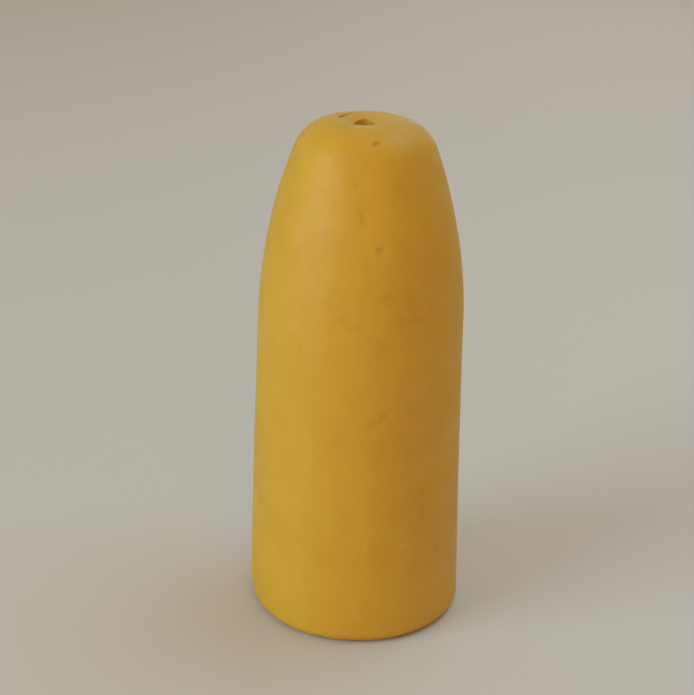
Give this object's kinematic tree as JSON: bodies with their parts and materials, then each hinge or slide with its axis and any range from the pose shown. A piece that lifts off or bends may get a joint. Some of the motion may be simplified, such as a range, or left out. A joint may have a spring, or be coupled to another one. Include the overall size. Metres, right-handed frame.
{
  "type": "bullet fishing float",
  "caption": "Bullet-shaped fishing float of yellow closed-cell foam with a flat foot, a rounded nose and a dished rope hole along its axis.",
  "frame": {"origin": "centre of the flat foot, on the axis of the rope hole", "axes": "+Z along the rope hole, from the foot up to the nose; the float is round about it"},
  "size_m": [0.1516, 0.1516, 0.356],
  "materials": {
    "foam": "weathered skin of closed-cell foam"
  },
  "bodies": {
    "root": {"float_body": "foam"}
  },
  "joints": []
}
